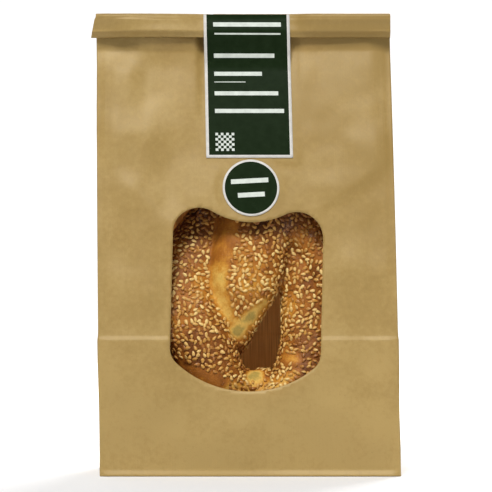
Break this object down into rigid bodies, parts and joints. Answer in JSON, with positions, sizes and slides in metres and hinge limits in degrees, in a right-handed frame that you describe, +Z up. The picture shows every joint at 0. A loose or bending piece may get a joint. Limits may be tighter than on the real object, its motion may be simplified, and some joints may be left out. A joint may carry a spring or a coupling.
{
  "type": "bagged simit",
  "caption": "Twisted sesame bread ring standing in a block-bottom paper bag with a shaped clear window, a label strip over its folded top and a round sticker.",
  "frame": {"origin": "on the surface that the bag stands on, under the middle of its whole width and depth", "axes": "+Z up, front of the bag with its window towards -Y, +X to the right as seen from the front"},
  "size_m": [0.1874, 0.078, 0.2797],
  "materials": {
    "kraft_paper": "matt brown kraft paper, lightly creased",
    "clear_film": "thin clear plastic film",
    "crust": null,
    "label_paper": "dark green printed sticker paper with a white border",
    "sticker_paper": "dark green printed sticker paper with a white rim"
  },
  "bodies": {
    "root": {"paper_bag": "kraft_paper", "window_film": "clear_film", "simit": "crust", "label_strip": "label_paper", "round_sticker": "sticker_paper"}
  },
  "joints": []
}
